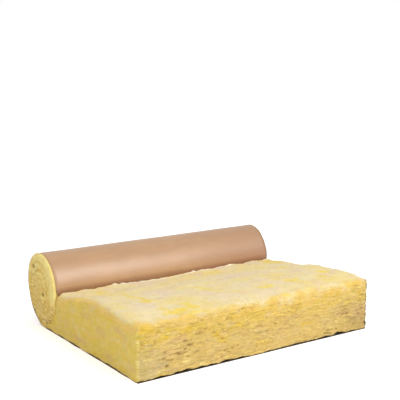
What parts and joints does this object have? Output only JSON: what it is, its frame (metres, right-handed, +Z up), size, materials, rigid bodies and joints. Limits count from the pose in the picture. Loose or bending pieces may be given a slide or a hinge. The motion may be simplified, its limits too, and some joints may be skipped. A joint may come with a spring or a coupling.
{
  "type": "insulation roll",
  "caption": "Kraft-faced glass-wool blanket: the cut end lies flat, sprung back to full thickness, and the rest is still wound up as a roll lying on its side.",
  "frame": {"origin": "on the floor, under the middle of the overall box", "axes": "+X along the roll and across the blanket's width, +Y from the cut end towards the back of the roll, +Z up"},
  "size_m": [1.224, 1.007, 0.3418],
  "materials": {
    "glass_wool": "loose fibrous wool, matte",
    "kraft_paper": "smooth machine-glazed kraft, low sheen"
  },
  "bodies": {
    "root": {"wool_blanket": "glass_wool", "kraft_facing": "kraft_paper"}
  },
  "joints": []
}
